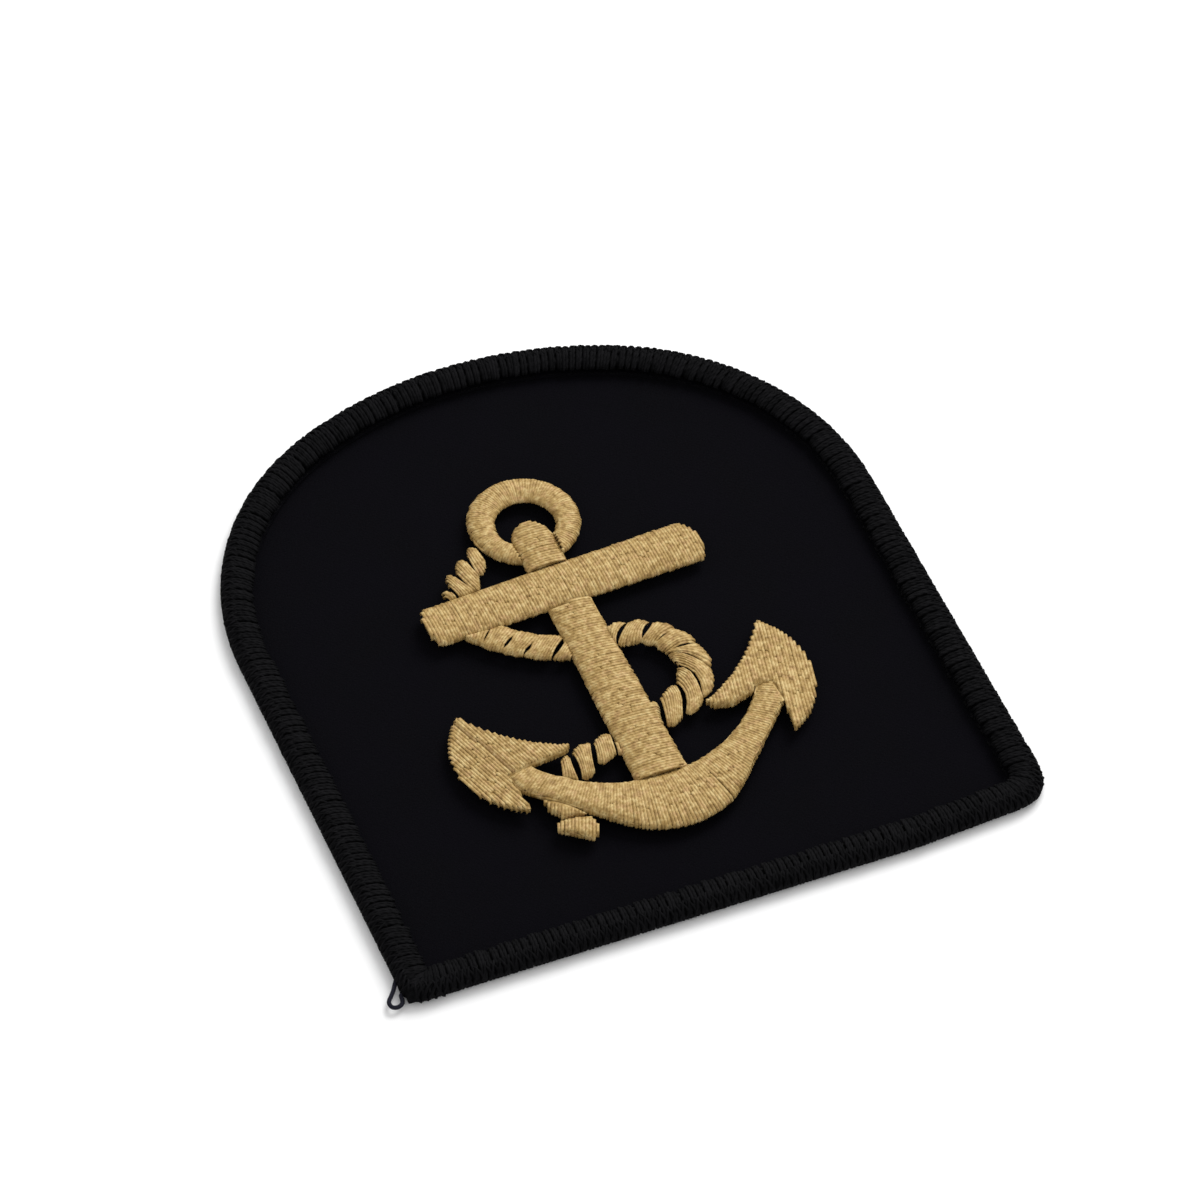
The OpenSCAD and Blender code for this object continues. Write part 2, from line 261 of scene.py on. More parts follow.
class Shader:
    """One material, whose nodes are added by one method."""

    def __init__(self, name, constants):
        self.material = bpy.data.materials.new(name)
        self.material.use_nodes = True
        self.tree = self.material.node_tree
        self.surface = self.tree.nodes["Principled BSDF"]
        for socket, value in constants.items():
            self.surface.inputs[socket].default_value = value

    def add(self, kind, settings, inputs, output=0):
        node = self.tree.nodes.new(kind)
        for setting, value in settings.items():
            setattr(node, setting, value)
        for socket, value in inputs.items():
            self.plug(node.inputs[socket], value)
        return Wire(self, node.outputs[output])

    def plug(self, socket, value):
        if isinstance(value, Wire):
            self.tree.links.new(value.socket, socket)
        else:
            socket.default_value = value

    def drive(self, socket, value):
        self.plug(self.surface.inputs[socket], value)

    def noise(self, size, detail=2.0, roughness=0.5):
        """Soft blotches of about that size in millimetres, from 0 to 1."""
        place = self.add("ShaderNodeTexCoord", {}, {}, "Object")
        return self.add("ShaderNodeTexNoise", {},
                        {"Vector": place, "Scale": 1000 / size, "Detail": detail,
                         "Roughness": roughness})

    def blend(self, share, first, second):
        """One colour turning into another."""
        return self.add("ShaderNodeMix", {"data_type": "RGBA"}, {0: share, 6: first, 7: second}, 2)

    def bump(self, height, depth):
        """Relief of that depth in millimetres."""
        self.drive("Normal", self.add("ShaderNodeBump", {},
                                      {"Height": height, "Distance": depth * MM}))

    def strand(self, twist, slant):
        """A thread with that many plies to a millimetre, and their slant: its plies, how near its
        sides a place is, and its own tone, which also shifts its plies from its neighbours'."""
        uv = self.add("ShaderNodeUVMap", {"uv_map": "thread"}, {})
        along = self.add("ShaderNodeSeparateXYZ", {}, {0: uv}, 0)
        across = self.add("ShaderNodeSeparateXYZ", {}, {0: uv}, 1)
        tone = self.add("ShaderNodeAttribute", {"attribute_name": "tone"}, {}, "Fac")
        ply = (along * twist + across * slant + tone * 3.0).wave()
        return ply, across * across, tone


def gold_thread():
    """Gold-coloured twisted thread: rosy mottles, painted sheen in pale and brown mottles, and
    painted shade between the threads.
    """
    gold = Shader("gold_thread", {"Roughness": 0.55, "Specular IOR Level": 0.3, "Metallic": 0.1})
    ply, side, tone = gold.strand(twist=1.7, slant=0.42)
    mottle = gold.noise(0.7, roughness=0.55)
    patch = gold.noise(2.2)
    warm = gold.noise(1.0, detail=1.0)
    base = gold.blend(patch.between(0.35, 0.65), DULL_GOLD, BRIGHT_GOLD)
    rosy = gold.blend(warm.between(0.52, 0.7) * 0.5, base, ROSY_GOLD)
    # Painted sheen: pale specks of painted glint, then brown specks of painted shade
    pale = gold.blend(mottle.between(0.5, 0.68) * 0.85, rosy, GLINT_GOLD)
    sheen_mottled = gold.blend((1 - mottle).between(0.5, 0.68) * 0.8, pale, SHEEN_SHADE_GOLD)
    # Painted shade: the threads in a streak, and each thread's sides and ply grooves, darken
    # towards the shade colour
    streak = (0 - tone).between(0.0, 1.0) * 0.55
    shade = side.between(0.4, 1.0) * 0.32 + (1 - ply).between(0.5, 1.0) * 0.1 + streak
    shaded = gold.blend(shade, sheen_mottled, SHADE_GOLD)
    gold.drive("Base Color", gold.blend(tone * 0.12, shaded, CLEAN_GOLD))
    gold.bump(ply * 0.25 + mottle * 0.75, 0.08)
    return gold.material


def border_thread():
    """Dark fuzzy twisted thread of the overlocked border, a little lighter in its tail, with
    painted shade at its sides and between its plies.
    """
    dark = Shader("border_thread", {"Roughness": 0.75, "Specular IOR Level": 0.04})
    ply, side, tone = dark.strand(twist=1.2, slant=0.5)
    fuzz = dark.noise(0.25, detail=3.0, roughness=0.7)
    loops = dark.noise(0.9)
    thread = dark.blend(tone * 0.5 + loops.between(0.35, 0.65) * 0.5, BLACK_THREAD, GREY_THREAD)
    # Painted shade at each thread's sides and between its plies
    shade = side.between(0.35, 1.0) * 0.7 + (1 - ply).between(0.5, 1.0) * 0.15
    shaded = dark.blend(shade, thread, SHADE_THREAD)
    dark.drive("Base Color", dark.blend(tone.between(1.5, 2.5), shaded, TAIL_THREAD))
    dark.bump(ply * 0.5 + fuzz * 0.6, 0.1)
    return dark.material


def wool_cloth():
    """Dark, closely felted wool: a fine nap with painted shade in its hollows and painted light on
    its raised fibres, over a faint weave.
    """
    wool = Shader("ground_cloth", {"Roughness": 0.95, "Specular IOR Level": 0.02})
    nap = wool.noise(0.22, detail=4.0, roughness=0.75)
    drift = wool.noise(9.0)
    place = wool.add("ShaderNodeTexCoord", {}, {}, "Object")
    x = wool.add("ShaderNodeSeparateXYZ", {}, {0: place}, 0)
    y = wool.add("ShaderNodeSeparateXYZ", {}, {0: place}, 1)
    weave = ((x + y) * (1000 / WEAVE)).wave() * 0.5 + ((x - y) * (1000 / WEAVE)).wave() * 0.5
    # Painted shade in the nap's hollows and painted light on its raised fibres, by the same noise
    # as its bump
    felt = wool.blend(nap.between(0.3, 0.7), HOLLOW_SHADE_WOOL, RAISED_LIT_WOOL)
    wool.drive("Base Color", wool.blend(drift.between(0.35, 0.65) * 0.35, felt, VIOLET_WOOL))
    wool.bump(nap + weave * 0.12, 0.12)
    return wool.material


# Solids of the frame, read by upright cuts

# A cut passes this much beside its point, so that it meets no corner
NUDGE = 1e-7
# Stretches of a cut that are nearer than this are one, and one no longer than this is left out
SAME_STRETCH = 0.02
SHORTEST_STRETCH = 0.3
# How far inside its ends a stretch's top is read
END_IN = 0.03


class Solid:
    """A closed mesh that is cut by upright planes to find its edges and its top."""

    def __init__(self, mesh):
        mesh.calc_loop_triangles()
        corners = np.empty(len(mesh.loop_triangles) * 3, np.int32)
        mesh.loop_triangles.foreach_get("vertices", corners)
        self.points = points_of(mesh) / MM
        self.triangles = self.points[corners].reshape(-1, 3, 3)

    def cut(self, point, way):
        """The cut through a point along a direction, as pairs of (distance along it, height)."""
        flat = self.triangles[:, :, :2] - point
        off = flat @ left_of(way) + NUDGE
        along = flat @ way
        height = self.triangles[:, :, 2]
        after = [1, 2, 0]
        crossed = (off > 0) != (off[:, after] > 0)
        share = off / np.where(crossed, off - off[:, after], 1)
        spot = np.stack([along + share * (along[:, after] - along),
                         height + share * (height[:, after] - height)], -1)
        return spot[crossed].reshape(-1, 2, 2)

    def spans(self, point, way):
        """Stretches of the cut that lie in the solid, each with the function of its top."""
        pairs = self.cut(point, way)
        if not len(pairs):
            return []
        low, high = pairs[:, :, 0].min(1), pairs[:, :, 0].max(1)
        order = np.argsort(low)
        found = [[low[order[0]], high[order[0]]]]
        for k in order[1:]:
            if low[k] > found[-1][1] + SAME_STRETCH:
                found.append([low[k], high[k]])
            else:
                found[-1][1] = max(found[-1][1], high[k])
        slopes = pairs[high - low > 1e-6]
        return [(a, b, TopLine(slopes, a, b)) for a, b in found if b - a > SHORTEST_STRETCH]


class TopLine:
    """The height of a cut's top at a distance along it, which past its ends stays the same."""

    def __init__(self, pairs, low, high):
        swap = pairs[:, 0, 0] > pairs[:, 1, 0]
        pairs[swap] = pairs[swap][:, ::-1]
        self.a = pairs[:, 0]
        self.b = pairs[:, 1]
        self.low = low + END_IN
        self.high = high - END_IN

    def __call__(self, distance):
        distance = np.clip(distance, self.low, self.high)
        share = (distance[:, None] - self.a[:, 0]) / (self.b[:, 0] - self.a[:, 0])
        height = self.a[:, 1] + share * (self.b[:, 1] - self.a[:, 1])
        inside = (share > -1e-6) & (share < 1 + 1e-6)
        return np.where(inside, height, PAD_FOOT).max(1)


# Threads and finished pieces

# Points of a CAD mesh that are nearer than this, in metres, are merged
MERGE = 0.000002
# How near a neighbour counts as a seam, and how far the underlay then draws in
SEAM = 0.3
SEAM_REACH = -0.06


class Thread:
    """A short round thread, modelled once. Copies of it are laid along paths."""

    def __init__(self, rings, sides):
        bpy.ops.object.select_all(action="DESELECT")
        bpy.ops.mesh.primitive_cylinder_add(vertices=sides, radius=1, depth=1, location=(0, 0, 0.5))
        model = bpy.context.object
        bpy.ops.object.mode_set(mode="EDIT")
        bpy.ops.mesh.select_mode(type="EDGE")
        bpy.ops.mesh.select_all(action="DESELECT")
        select_edges(model.data, lambda edge: abs(edge.verts[0].co.z - edge.verts[1].co.z) > 0.5)
        bpy.ops.mesh.subdivide(number_cuts=rings - 2)
        bpy.ops.object.mode_set(mode="OBJECT")
        mesh = model.data
        place = points_of(mesh)
        height = place[:, 2] - place[:, 2].min()
        self.ring = np.rint(height * (rings - 1)).astype(int)
        self.across = place[:, 0]
        self.up = place[:, 1]
        self.rings = rings
        self.loops = np.empty(len(mesh.loops), np.int32)
        mesh.loops.foreach_get("vertex_index", self.loops)
        self.sizes = np.empty(len(mesh.polygons), np.int32)
        mesh.polygons.foreach_get("loop_total", self.sizes)
        bpy.data.objects.remove(model)

    def lay(self, name, paths, sides, wide, high, tones):
        """One mesh of a copy of the thread along each path, joined.

        Each path has a point for each ring, sides are the threads' sideways directions, and wide
        and high are half their width and height at each ring."""
        count = len(paths)
        ahead = np.gradient(paths, axis=1)
        ahead /= np.linalg.norm(ahead, axis=2, keepdims=True)
        sideways = np.broadcast_to(sides[:, None, :], paths.shape)
        upward = np.cross(ahead, sideways)
        upward /= np.linalg.norm(upward, axis=2, keepdims=True)
        ring = self.ring
        points = (paths[:, ring]
                  + sideways[:, ring] * (wide[:, ring] * self.across)[..., None]
                  + upward[:, ring] * (high[:, ring] * self.up)[..., None])
        steps = np.linalg.norm(np.diff(paths, axis=1), axis=2)
        along = np.concatenate([np.zeros((count, 1)), np.cumsum(steps, 1)], 1)[:, ring]
        each = len(ring)
        mesh = bpy.data.meshes.new(name)
        mesh.vertices.add(count * each)
        mesh.vertices.foreach_set("co", (points * MM).ravel())
        loops = (self.loops[None, :] + np.arange(count)[:, None] * each).ravel()
        sizes = np.tile(self.sizes, count)
        mesh.loops.add(len(loops))
        mesh.loops.foreach_set("vertex_index", loops.astype(np.int32))
        mesh.polygons.add(len(sizes))
        mesh.polygons.foreach_set("loop_start", np.concatenate([[0], np.cumsum(sizes)[:-1]]))
        mesh.polygons.foreach_set("loop_total", sizes)
        mesh.update(calc_edges=True)
        mesh.shade_smooth()
        uv = mesh.uv_layers.new(name="thread")
        flat = np.stack([along, np.broadcast_to(self.across, along.shape)], -1).reshape(-1, 2)
        uv.data.foreach_set("uv", flat[loops].ravel())
        tone = mesh.attributes.new("tone", "FLOAT", "POINT")
        tone.data.foreach_set("value", np.repeat(tones, each))
        return mesh


def finish_piece(name, meshes, finish, node):
    """Joins meshes into one finished piece that stands for a node of the frame."""
    piece = joined([placed(name, mesh) for mesh in meshes])
    piece.name = name
    piece.data.materials.clear()
    piece.data.materials.append(finish)
    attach(piece, "root")
    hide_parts(node)
    return piece


def surface_of(node):
    """A node's surface, for finding what lies near it."""
    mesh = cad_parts[node].data
    mesh.calc_loop_triangles()
    return BVHTree.FromPolygons([v.co for v in mesh.vertices],
                                [t.vertices for t in mesh.loop_triangles])


def underlay(solid, draw_in, sink, beside=()):
    """The stitching under the top layer: a copy of a solid's mesh, drawn in and sunk a little.

    Where it faces a neighbour across a seam it reaches out, so that the seam shows thread."""
    mesh = solid.copy()
    copy = placed("underlay", mesh)
    only(copy)
    bpy.ops.object.mode_set(mode="EDIT")
    bpy.ops.mesh.select_all(action="SELECT")
    bpy.ops.mesh.remove_doubles(threshold=MERGE)
    bm = bmesh.from_edit_mesh(mesh)
    bm.normal_update()
    for v in bm.verts:
        at_seam = any(near.find_nearest(v.co, SEAM * MM)[0] is not None for near in beside)
        inward = SEAM_REACH if at_seam else draw_in
        v.co.x -= v.normal.x * inward * MM
        v.co.y -= v.normal.y * inward * MM
        v.co.z -= max(v.normal.z, 0) * sink * MM
    bmesh.update_edit_mesh(mesh)
    bpy.ops.object.mode_set(mode="OBJECT")
    mesh.shade_smooth()
    bpy.data.objects.remove(copy)
    return mesh


# Satin stitching

# From row to row, half a thread's width and height, and the longest stitch
PITCH = 0.38
HALF_WIDE = 0.24
HALF_HIGH = 0.095
LONGEST = 4.5
STITCH = Thread(rings=9, sides=6)
END_TAPER = np.array([0.8, 0.95, 1, 1, 1, 1, 1, 0.95, 0.8])
# A stitch's foot, with the most of a short stitch that it takes, and where its shoulder lies
FOOT = 0.3
FOOT_SHARE = 0.22
SHOULDER_SHARE = 0.27
# An end at the edge goes into the cloth from just over it. One inside dips under the next.
INTO_CLOTH = 0.12
OVER_CLOTH = 0.2
DIP = (0.13, 0.04)
DIP_SHARE = 0.4
# How unevenly the rows start and end and the stitches lie, the last as a share of their width
ROW_START = (-0.06, 0.08)
ROW_END = (-0.08, 0.06)
SWAY = (-0.05, 0.05)
LIFT = (-0.015, 0.015)
FULLNESS = (0.92, 1.08)
# The direction of the rows in degrees, where they lie side by side
ROW_ANGLES = {
    "shank_head": 2,
    "anchor_stock": 92.4,
    "left_fluke": -71,
    "right_fluke": 78,
    "rope_end": 68,
}
SHANK_ROWS = -0.6
# Where they fan out: their centre, the first and the last angle, and the angle from row to row.
# The arms' two fans meet in a seam at the crown.
CROWN_SEAM = -74.5
FANS = {
    "anchor_ring": [((-1.4, 16.6), -90, 270, 3.3)],
    "anchor_arms": [((-0.5, -9.5), -170, CROWN_SEAM - 0.2, 1.1),
                    ((-0.5, -9.5), CROWN_SEAM + 0.2, -10, 1.1)],
}
SHANK_NODES = ("anchor_shank", "shank_foot")
DARK_NODES = ("ground_cloth", "merrowed_border", "thread_tail")
# Browner streaks in the flukes, where the threads part and the stitching under them shows in
# shade: painted shade that darkens the threads there
STREAKS = [
    # the photo's pixel across and down at the two ends, half width
    (467, 733, 497, 758, 0.3),
    (508, 770, 510, 777, 0.3),
    (763, 643, 770, 658, 0.2),
]


def stitch_line(top, a, b, first, last):
    """Distances and heights of a stitch's rings from a to b.

    An end at the solid's edge goes down into the cloth, and one inside dips under the next."""
    long = b - a
    foot = min(FOOT, long * FOOT_SHARE)
    shoulder = long * SHOULDER_SHARE
    distance = np.array([a, a, a + foot, a + shoulder, a + long * 0.5,
                         b - shoulder, b - foot, b, b])
    height = top(distance) - HALF_HIGH * 0.5
    if first:
        distance[:2] = a + INTO_CLOTH, a
        height[:2] = CLOTH_TOP - INTO_CLOTH, CLOTH_TOP + OVER_CLOTH
    else:
        distance[1] = a + foot * DIP_SHARE
        height[:2] -= DIP
    if last:
        distance[7:] = b, b - INTO_CLOTH
        height[7:] = CLOTH_TOP + OVER_CLOTH, CLOTH_TOP - INTO_CLOTH
    else:
        distance[7] = b - foot * DIP_SHARE
        height[7:] -= DIP[::-1]
    return distance, height


class Stitches:
    """Stitches collected for one piece."""

    def __init__(self):
        self.paths = []
        self.sides = []
        self.wide = []

    def across(self, solid, point, way, keep=lambda a, b: True):
        """The stitches of one row through a point, split at random where the row is long."""
        for a, b, top in solid.spans(point, way):
            if not keep(a, b):
                continue
            a += hand.uniform(*ROW_START)
            b += hand.uniform(*ROW_END)
            parts = max(1, round((b - a) / LONGEST + hand.uniform(-0.5, 0.5)))
            marks = [a + (b - a) * (k + hand.uniform(-0.3, 0.3)) / parts for k in range(1, parts)]
            marks = [a, *marks, b]
            for k in range(parts):
                self.one(top, marks[k], marks[k + 1], k == 0, k == parts - 1, point, way)

    def one(self, top, a, b, first, last, point, way):
        """One stitch of a row, from a to b along it."""
        distance, height = stitch_line(top, a, b, first, last)
        sideways = np.append(left_of(way), 0.0)
        sway = np.linspace(hand.uniform(*SWAY), hand.uniform(*SWAY), len(distance))
        path = np.zeros((len(distance), 3))
        path[:, :2] = point + distance[:, None] * way
        path[:, 2] = height + hand.uniform(*LIFT)
        self.add(path + sway[:, None] * sideways, sideways,
                 HALF_WIDE * hand.uniform(*FULLNESS) * END_TAPER)

    def add(self, path, sideways, wide):
        self.paths.append(path)
        self.sides.append(sideways)
        self.wide.append(wide)

    def mesh(self, name):
        paths = np.array(self.paths)
        high = np.full(paths.shape[:2], HALF_HIGH)
        return STITCH.lay(name, paths, np.array(self.sides), np.array(self.wide), high,
                          hand.random(len(paths)) - STREAK_TONE * streaked(paths))


def streaked(paths):
    """Which threads have their middle in a streak of painted shade."""
    middle = paths[:, paths.shape[1] // 2, :2]
    dark = np.zeros(len(middle), bool)
    for across, down, last_across, last_down, half in STREAKS:
        start = on_badge(across, down)
        way = on_badge(last_across, last_down) - start
        share = np.clip((middle - start) @ way / (way @ way), 0, 1)
        dark |= np.linalg.norm(middle - start - share[:, None] * way, axis=1) < half
    return dark


def rows_over(solid, angle):
    """The direction of rows at an angle in degrees, and a point on each, over the whole solid."""
    way = pointing(math.radians(angle))
    side = left_of(way)
    places = solid.points[:, :2] @ side
    low, high = places.min(), places.max()
    rows = max(2, round((high - low) / PITCH))
    step = (high - low) / rows
    return way, [side * (low + (row + 0.5) * step) for row in range(rows)]


def straight(stitches, solid, angle):
    """Rows of stitches side by side at an angle in degrees, over the whole solid."""
    way, points = rows_over(solid, angle)
    for point in points:
        stitches.across(solid, point, way)


def fanned(stitches, solid, centre, start, end, step):
    """Rows of stitches that point away from a centre, from one angle to another, in degrees."""
    rows = round((end - start) / step)
    for row in range(rows):
        way = pointing(math.radians(start + (row + 0.5) * (end - start) / rows))
        stitches.across(solid, np.array(centre), way, keep=lambda a, b: a + b > 0)


class Joined:
    """Solids that are stitched as one, with rows that run on from one to the other."""

    def __init__(self, solids):
        self.solids = solids
        self.points = np.vstack([solid.points for solid in solids])

    def spans(self, point, way):
        """The one stretch from end to end, with the function of the highest top there."""
        spans = [span for solid in self.solids for span in solid.spans(point, way)]
        if not spans:
            return []

        def top(distance):
            return np.max([np.where((distance > a) & (distance < b), line(distance), PAD_FOOT)
                           for a, b, line in spans], axis=0)

        return [(min(span[0] for span in spans), max(span[1] for span in spans), top)]


def stitch_shank(solids, shank, crossing):
    """The shank's rows, which in the photo run on over the rope. Each goes to the node under it."""
    owners = {name: solids[name] for name in SHANK_NODES}
    owners["rope_crossing"] = crossing
    stitches = {name: Stitches() for name in owners}
    whole = Joined([shank, crossing])
    way, points = rows_over(whole, SHANK_ROWS)
    for point in points:
        share = {name: sum(b - a for a, b, _ in solid.spans(point, way))
                 for name, solid in owners.items()}
        stitches[max(share, key=share.get)].across(whole, point, way)
    return stitches


def embroider(gold):
    """The anchor and its rope, each node stitched in its own direction."""
    names = [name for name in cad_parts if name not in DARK_NODES]
    solids = {name: Solid(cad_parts[name].data) for name in names}
    surfaces = {name: surface_of(name) for name in names}
    for node, angle in ROW_ANGLES.items():
        stitches = Stitches()
        straight(stitches, solids[node], angle)
        stitched(node, stitches, surfaces, gold)
    shank = Solid(hull_of(SHANK_NODES))
    shank_stitches = stitch_shank(solids, shank, Solid(crossing_hull()))
    for node in SHANK_NODES:
        stitched(node, shank_stitches[node], surfaces, gold)
    for node, fans in FANS.items():
        stitches = Stitches()
        for fan in fans:
            fanned(stitches, solids[node], *fan)
        stitched(node, stitches, surfaces, gold)
    wind_rope(solids, surfaces, shank, shank_stitches["rope_crossing"], gold)


def hull_of(nodes, cut=None):
    """One smooth mesh drawn tight round some nodes. With a cut, which is a place and a direction,
    it goes round what lies ahead of the cut alone."""
    model = joined([placed("hull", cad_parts[node].data.copy()) for node in nodes])
    bpy.ops.object.mode_set(mode="EDIT")
    bpy.ops.mesh.select_all(action="SELECT")
    if cut:
        place, ahead = cut
        bpy.ops.mesh.bisect(plane_co=place, plane_no=ahead, clear_inner=True)
        bpy.ops.mesh.select_all(action="SELECT")
    bpy.ops.mesh.convex_hull()
    bpy.ops.object.mode_set(mode="OBJECT")
    mesh = model.data
    bpy.data.objects.remove(model)
    return mesh


def crossing_hull():
    """One smooth mesh round the part of the rope that lies over the shank."""
    x, y, direction = ROUND_SLITS[SHANK_SLIT][:3]
    turn = math.radians(direction)
    ahead = (-math.sin(turn), math.cos(turn), 0)
    return hull_of(["rope_crossing"], cut=((x * MM, y * MM, 0), ahead))


def stitched(node, stitches, surfaces, gold):
    """Finishes a node's stitching, over its underlay."""
    beside = [surface for other, surface in surfaces.items() if other != node]
    under = underlay(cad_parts[node].data, draw_in=0.14, sink=0.2, beside=beside)
    finish_piece("stitched_" + node, [stitches.mesh("stitches"), under], gold, node)


# Rope

# From one place on the rope's course to the next, and from one of its threads to the next
ROPE_STEP = 0.05
ROPE_PITCH = 0.34
# How many places on each side of the nearest one a slit's line may reach
SLIT_REACH = 80
# How much of a slit the threads beside it cover, and the share of its gape that moves them
SLIT_COVERED = 0.12
GAPE_SHARE = 0.8
# How far the rope's under threads lie below its upper ones, and how much shorter that makes them
ROPE_UNDER = 0.09
UNDER_SHORTER = 0.1
# How high a strand's crest rises over the padding's foot, and its shares at a slit and between
ROPE_RISE = 0.46
SLIT_SHARE = 0.55
CREST_SHARE = 0.45
# Half a thread's width as a share of the room that it has, and its least and most
ROOM_SHARE = 0.7
ROPE_HALF_WIDE = (0.12, 0.36)
# The unevenness of a thread's ends, and the shortest one that is kept, as shares across the rope
ROPE_ENDS = (-0.025, 0.025)
SHORTEST_SHARE = 0.12
# The room between a thread's end and the neighbour that it ends at
NEIGHBOUR_GAP = 0.03
RUNS = {
    # x and y at the first end and at the last, bow to the left, width at the two ends
    "upper": (-8.6, 13.9, -12.9, 7.9, -0.4, 3.2, 4.5),
    "left": (-13.1, 3.9, -4.1, -2.9, -0.9, 3.8, 3.6),
    "loop": (1.9, -3.35, 8.3, -12.2, 3.1, 3.4, 4.2),
    "lower": (6, -14.75, -10.7, -20.1, 0.35, 4.2, 3.9),
}
# The slits between the strands, each by its two ends in the photo, across and down in pixels. A
# slit in millimetres is where a run starts or ends, where the rope comes off the shank, or where
# the photo shows no clear gap. Shares run from the left edge of the rope, as it is followed, to its
# right edge.
UPPER_SLITS = [
    # place and direction, width, share where it opens and closes,
    # and for the strand after it the shares where its threads start and end
    [-8.0, 14.3, 95, 0.0, 0.0, 1.0, 0.0, 0.92],
    seen(477, 570, 467, 554, 0.41, 0.15, 1.3, 0.0, 0.92),
    seen(472, 586, 458, 574, 0.38, 0.3, 1.3, 0.0, 1.02),
    seen(456, 596, 446, 584, 0.38, 0.3, 1.3, 0.0, 0.95),
    [-14.6, 7.9, 100, 0.0, 0.0, 1.0, 0.0, 1.0],
]
LEFT_SLITS = [
    [-14.1, 4.4, 45, 0.0, 0.0, 1.0, 0.0, 1.0],
    seen(484, 640, 488, 632, 0.10, 0.2, 0.9, 0.0, 1.0),
    seen(504, 646, 511, 637, 0.32, 0.35, 0.85, 0.0, 1.0),
    seen(524, 652, 531, 643, 0.30, 0.45, 0.95, 0.0, 1.0),
    seen(552, 657, 561, 641, 0.45, -0.1, 1.1, 0.0, 1.0),
    [-3.0, -3.7, 48, 0.0, 0.0, 1.0, 0.0, 1.0],
]
ROUND_SLITS = [
    [1.2, -3.4, 70, 0.0, 0.0, 1.0, 0.0, 1.0],
    seen(626, 626, 621, 638, 0.45, -0.1, 1.0, 0.0, 1.0),
    seen(648, 627, 642.5, 637.5, 0.45, -0.1, 0.85, 0.0, 1.0),
    [7.3, -5.6, 22, 0.10, 0.3, 0.8, 0.0, 1.0],
    seen(693, 642.5, 677, 647.5, 0.24, 0.15, 0.75, 0.0, 1.0),
    seen(709, 668, 690, 657, 0.20, 0.0, 0.75, 0.0, 1.0),
    seen(699, 692.5, 686, 672.5, 0.45, 0.0, 0.75, 0.0, 1.0),
    seen(683, 712, 678, 693, 0.54, -0.2, 1.1, 0.0, 1.05),
    seen(666, 723, 662, 707.5, 0.38, -0.3, 1.3, 0.0, 1.0),
    [-2.1, -17.7, -105, 0.0, 0.0, 1.0, 0.1, 0.95],
    seen(616, 747.5, 611.5, 735, 0.14, -0.3, 1.3, 0.16, 1.0),
    seen(595, 758, 591, 737, 0.48, -0.3, 1.3, -0.03, 1.08),
    seen(580, 775, 573, 757.5, 0.56, -0.3, 1.3, 0.0, 1.0),
    seen(563, 777, 561, 760, 0.0, 0.0, 1.0, 0.0, 1.0),
]
# The one where the rope comes off the shank
SHANK_SLIT = 9


def arc(run, first, last, count):
    """Places on a run's arc with its width there, from one share of its length to another."""
    x, y, last_x, last_y, bow, wide, last_wide = RUNS[run]
    half = math.hypot(last_x - x, last_y - y) / 2
    radius = (half ** 2 + bow ** 2) / (2 * abs(bow))
    bend = -math.copysign(1, bow)
    share = np.append(0, np.linspace(first, last, count))
    heading = (math.atan2(last_y - y, last_x - x)
               + (share - 0.5) * 2 * math.asin(half / radius) * bend)
    inward = bend * radius * np.stack([-np.sin(heading), np.cos(heading)], 1)
    flat = np.array([x, y]) + inward[0] - inward
    return np.column_stack([flat, wide + (last_wide - wide) * share])[1:]


def curve_through(points):
    """A smooth line through points, with places a small step apart."""
    ends = np.vstack([2 * points[0] - points[1], points, 2 * points[-1] - points[-2]])
    t = np.linspace(0, 1, 40, endpoint=False)[:, None]
    line = np.vstack([
        b + 0.5 * t * ((c - a) + t * ((2 * a - 5 * b + 4 * c - d) + t * (3 * b - a - 3 * c + d)))
        for a, b, c, d in zip(ends, ends[1:], ends[2:], ends[3:])
    ] + [points[-1:]])
    long = lengths_to(line)
    return read_at(np.arange(0, long[-1], ROPE_STEP), long, line)


